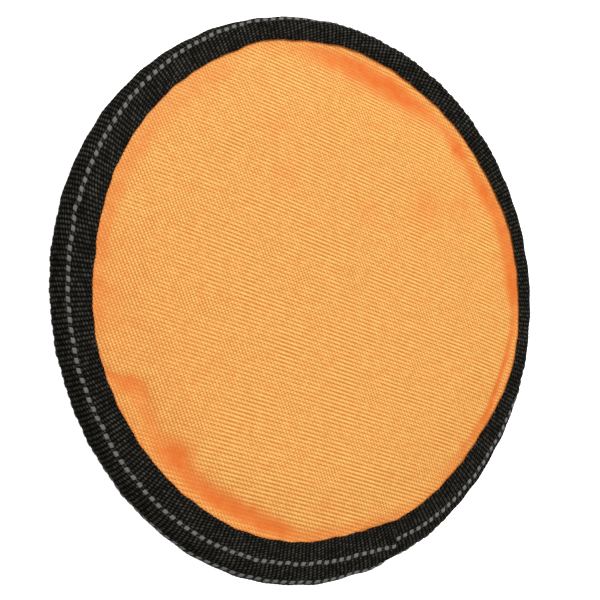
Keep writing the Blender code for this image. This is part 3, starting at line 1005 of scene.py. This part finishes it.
def make_panel(name, sheet_radius, height_at, upwards, cap, fold_at, material):
    """A panel of fabric: simulated as cloth, made finer, folded and carried by the rim."""
    piece = sheet(name, sheet_radius, height_at, upwards, material)
    inflate(piece, cap)
    refine(piece)
    points = read_points(piece.data)
    radius = np.hypot(points[:, 0], points[:, 1])
    turn = np.degrees(np.arctan2(points[:, 1], points[:, 0]))
    drop, warmth = fold_at(turn, radius)
    write_points(piece.data, place(turn, radius, points[:, 2] - drop))
    # the warmth, a painted shade, is kept on the panel for its material
    keep_places(piece, "fold", np.repeat(warmth[:, None], 3, axis=1))
    thicken(piece)
    return piece


def no_fold(turn, radius):
    """(drop, warmth) of the back, which has no folds."""
    return np.zeros(radius.shape), np.zeros(radius.shape)


def make_face(material):
    return make_panel(
        "face_panel_fabric",
        FACE_PANEL_RADIUS,
        face_height,
        True,
        FACE_CLOTH_CAP,
        face_fold,
        material,
    )


def make_back(material):
    return make_panel(
        "back_panel_fabric",
        BACK_PANEL_RADIUS,
        back_height,
        False,
        BACK_CLOTH_CAP,
        no_fold,
        material,
    )


PAD_SIDE_GAP = 1.0 * MM
PAD_BOTTOM_GAP = 0.8 * MM
PAD_TOP_GAP = 1.2 * MM
PAD_RINGS = 12
PAD_EDGE_RINGS = 11
PAD_EDGE_BEND = 75.0
PAD_STEP = 3.0  # degrees between the pad's stations


def make_pad(material):
    """Foam pad between the panels, its edges rounded."""
    low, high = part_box("foam_pad")
    bottom = low.z + PAD_BOTTOM_GAP
    top = high.z - PAD_TOP_GAP
    half = (top - bottom) / 2
    flat = high.x - PAD_SIDE_GAP - half
    profile = [(r, top) for r in np.linspace(0.0, flat, PAD_RINGS)[1:]]
    for angle in np.radians(np.linspace(PAD_EDGE_BEND, -PAD_EDGE_BEND, PAD_EDGE_RINGS)):
        height = (top + bottom) / 2 + half * math.sin(angle)
        profile.append((flat + half * math.cos(angle), height))
    profile += [(r, bottom) for r in np.linspace(flat, 0.0, PAD_RINGS)[:-1]]
    radii, heights = np.array(profile).T[:, :, None]
    turn = np.radians(np.arange(0.0, 360.0, PAD_STEP))[None, :]
    sides = np.broadcast_arrays(radii * np.cos(turn), radii * np.sin(turn), heights)
    return sweep("foam_pad_rounded", np.stack(sides, axis=-1), material)


# ---------------------------------------------------------------- stage


FLOOR_COLOUR = (0.62, 0.62, 0.615)
FLOOR_GLOW = 1.6  # for the camera only, so that the floor reads as white but lights nothing
FLOOR_MOTTLE_SCALE = 1.5
FLOOR_HALF = 12.0
FLOOR_GAP = 0.5 * MM
WORLD_STRENGTH = 0.45
KEY_PLACE = (0.1, 1.1, 1.9)
KEY_SIZE = 1.3
KEY_POWER = 50.0
FILL_PLACE = (0.5, -0.9, 1.9)
FILL_SIZE = 1.6
FILL_POWER = 12.0


def make_floor():
    """Pale floor just below the disc."""
    n = Nodes("floor_pale")
    mottle = n.noise(n.position(), FLOOR_MOTTLE_SCALE)
    n.finish(
        Base_Color=n.mix(mottle, shade(FLOOR_COLOUR, 0.98), shade(FLOOR_COLOUR, 1.0)),
        Roughness=0.9,
        Emission_Color=shade(FLOOR_COLOUR),
        Emission_Strength=n.math("MULTIPLY", n.seen_directly(), FLOOR_GLOW),
    )
    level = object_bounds()[0][2] - FLOOR_GAP
    corners = [
        (x * FLOOR_HALF, y * FLOOR_HALF, level) for x, y in ((-1, -1), (1, -1), (1, 1), (-1, 1))
    ]
    mesh = fill_mesh("floor", np.array(corners), np.array([[0, 1, 2, 3]]))
    new_object("floor", mesh, n.material)


def make_light(name, place_at, size, power):
    """White round lamp that points at the disc's centre."""
    light = bpy.data.lights.new(name, "AREA")
    light.shape = "DISK"
    light.size = size
    light.energy = power
    lamp = bpy.data.objects.new(name, light)
    bpy.context.scene.collection.objects.link(lamp)
    lamp.location = place_at
    lamp.rotation_euler = Vector(place_at).to_track_quat("Z", "Y").to_euler()


def make_world(strength):
    """Even white light. The camera sees it as a white backdrop."""
    world = bpy.data.worlds.new("studio")
    world.use_nodes = True
    tree = world.node_tree
    sky = tree.nodes["Background"]
    sky.inputs["Color"].default_value = (1.0, 1.0, 1.0, 1.0)
    seen = tree.nodes.new("ShaderNodeMapRange")
    ray = tree.nodes.new("ShaderNodeLightPath")
    tree.links.new(ray.outputs["Is Camera Ray"], seen.inputs["Value"])
    seen.inputs["To Min"].default_value = strength
    tree.links.new(seen.outputs["Result"], sky.inputs["Strength"])
    bpy.context.scene.world = world


def make_camera():
    """Camera at CAMERA_PLACE, looking away from CAMERA_BACK, with CAMERA_UP upwards."""
    camera = bpy.data.cameras.new("camera")
    camera.lens = CAMERA_LENS
    camera.sensor_width = 36.0
    camera.clip_start = 0.01
    holder = bpy.data.objects.new("camera", camera)
    bpy.context.scene.collection.objects.link(holder)
    back = CAMERA_BACK.normalized()
    right = CAMERA_UP.cross(back).normalized()
    up = back.cross(right)
    turned = Matrix((right, up, back)).transposed()
    holder.matrix_world = Matrix.Translation(CAMERA_PLACE) @ turned.to_4x4()
    bpy.context.scene.camera = holder


def make_yarns(material):
    """(piece, node) of the two reflective lines."""
    lines = (
        ("reflective_dashes_face_side", "reflective_yarn_face_side", 0.0, 0.0, 4),
        ("reflective_dashes_rim_side", "reflective_yarn_rim_side", REAR_LINE, REAR_LINE_DRIFT, 9),
    )
    return [
        (make_yarn(name, line, stray, seed, material), node)
        for name, node, line, stray, seed in lines
    ]


def make_threads(material):
    """(piece, node) of the needle and bobbin threads of both seams."""
    inside = -WEBBING_THICKNESS - FABRIC_THICKNESS - THREAD_RADIUS - THREAD_BELOW_PANEL
    seams = (("face", FACE_EDGE - FACE_SEAM_INSET), ("back", BACK_EDGE + BACK_SEAM_INSET))
    threads = (
        ("seam_stitches", "seam_needle_thread", THREAD_ABOVE_STRIP, 1.0),
        ("seam_bobbin_stitches", "seam_bobbin_thread", inside, -1.0),
    )
    return [
        (make_stitches(f"{seam}_{name}", across, depth, side, material), f"{seam}_{node}")
        for seam, across in seams
        for name, node, depth, side in threads
    ]


def main():
    nylon = nylon_material()
    black = webbing_material()
    grey = yarn_material()
    thread = thread_material()
    foam = foam_material("foam_white", FOAM_WHITE, FOAM_PORE_SCALE)
    cord = foam_material("cord_grey", CORD_GREY, CORD_PORE_SCALE)
    groups = (
        ("nylon_orange", ((make_face(nylon), "face_panel"), (make_back(nylon), "back_panel"))),
        ("foam_white", ((make_pad(foam), "foam_pad"),)),
        ("cord_grey", ((make_cord(cord), "rim_cord"),)),
        ("webbing_black", ((make_webbing(black), "rim_webbing"),)),
        ("reflective_yarn_grey", make_yarns(grey)),
        ("thread_black", make_threads(thread)),
    )
    for slot, pieces in groups:
        for piece, node in pieces:
            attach(piece, "root")
            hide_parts(node)

    make_floor()
    make_world(WORLD_STRENGTH)
    make_light("key", KEY_PLACE, KEY_SIZE, KEY_POWER)
    make_light("fill", FILL_PLACE, FILL_SIZE, FILL_POWER)
    make_camera()
    bpy.context.scene.view_settings.view_transform = "Standard"
    bpy.context.view_layer.update()


main()
